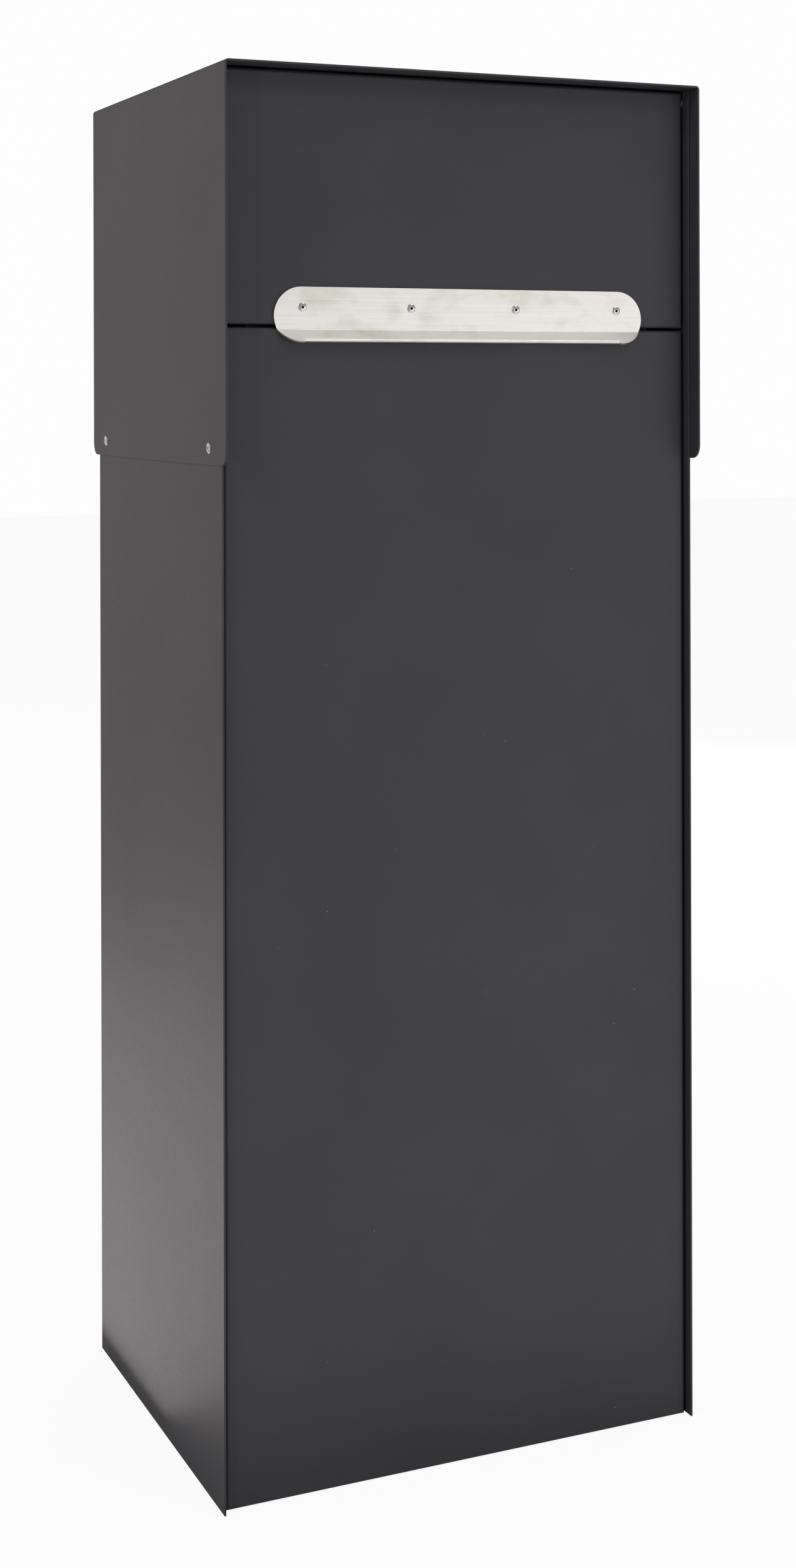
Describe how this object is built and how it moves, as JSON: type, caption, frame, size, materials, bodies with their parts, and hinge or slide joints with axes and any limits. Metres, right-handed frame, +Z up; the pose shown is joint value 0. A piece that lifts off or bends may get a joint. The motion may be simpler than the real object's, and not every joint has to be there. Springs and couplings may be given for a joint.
{
  "type": "parcel drop box",
  "caption": "Tall floor-standing parcel drop box of folded sheet steel with a top-hung front flap, steel pull plate, anti-theft tray and a lockable rear door.",
  "frame": {"origin": "middle of the footprint's bounding box, on the floor", "axes": "+X to the right of someone facing the flap, +Y into the box from front to back, +Z up"},
  "size_m": [0.3876, 0.33, 1.025],
  "materials": {
    "powder_coat": "fine-textured matt powder coat, anthracite",
    "brushed_stainless": "fine brushed stainless sheet",
    "rivet_aluminium": "bright",
    "zinc_plate": "bright zinc plate",
    "lock_nickel": "satin nickel",
    "buffer_rubber": "matt"
  },
  "bodies": {
    "cabinet": {"left_side_wall": "powder_coat", "right_side_wall": "powder_coat", "roof_cap": "powder_coat", "cap_rivets": "rivet_aluminium", "front_lower_panel": "powder_coat", "front_post_left": "powder_coat", "front_post_right": "powder_coat", "rear_jamb_left": "powder_coat", "rear_jamb_right": "powder_coat", "base_plate": "powder_coat", "door_sill": "powder_coat", "door_header": "powder_coat", "rear_upper_panel": "powder_coat", "top_plate": "powder_coat", "rear_guard_plate": "powder_coat", "flap_hinge_pins": "zinc_plate", "tray_pivot_pins": "zinc_plate", "flap_buffers": "buffer_rubber", "door_buffers": "buffer_rubber", "door_pivot_pins": "zinc_plate"},
    "flap": {"flap_panel": "powder_coat", "handle_plate": "brushed_stainless", "handle_rivets": "rivet_aluminium", "crank_arm_left": "zinc_plate", "crank_arm_right": "zinc_plate", "crank_pins": "zinc_plate"},
    "tray": {"drop_tray": "powder_coat", "tray_link_pins": "zinc_plate"},
    "link_left": {"link_bar_left": "zinc_plate"},
    "link_right": {"link_bar_right": "zinc_plate"},
    "rear_door": {"door_panel": "powder_coat", "door_stiffener": "powder_coat", "lock_housing": "lock_nickel", "lock_nut": "lock_nickel"},
    "lock": {"lock_core": "lock_nickel", "lock_cam": "zinc_plate", "cam_screw": "zinc_plate"}
  },
  "joints": [
    {"name": "flap_swing", "type": "hinge", "parent": "cabinet", "child": "flap", "pos_m": [0, -0.141, 1.0145], "axis": [-1, 0, 0], "range_deg": [0, 75]},
    {"name": "tray_tilt", "type": "hinge", "parent": "cabinet", "child": "tray", "pos_m": [0, 0.105, 0.838], "axis": [-1, 0, 0], "range_deg": [0, 75]},
    {"name": "link_left_swing", "type": "hinge", "parent": "flap", "child": "link_left", "pos_m": [-0.183, -0.11649, 0.97676], "axis": [-1, 0, 0], "range_deg": [-75, 0]},
    {"name": "link_right_swing", "type": "hinge", "parent": "flap", "child": "link_right", "pos_m": [0.183, -0.11649, 0.97676], "axis": [-1, 0, 0], "range_deg": [-75, 0]},
    {"name": "rear_door_swing", "type": "hinge", "parent": "cabinet", "child": "rear_door", "pos_m": [-0.18, 0.141, 0.382], "axis": [0, 0, 1], "range_deg": [0, 95]},
    {"name": "lock_turn", "type": "hinge", "parent": "rear_door", "child": "lock", "pos_m": [0.158, 0.135, 0.43], "axis": [0, -1, 0], "range_deg": [0, 90]}
  ],
  "couplings": [
    {"joint": "tray_tilt", "follows": "flap_swing", "ratio": 1},
    {"joint": "link_left_swing", "follows": "flap_swing", "ratio": -1},
    {"joint": "link_right_swing", "follows": "flap_swing", "ratio": -1}
  ]
}
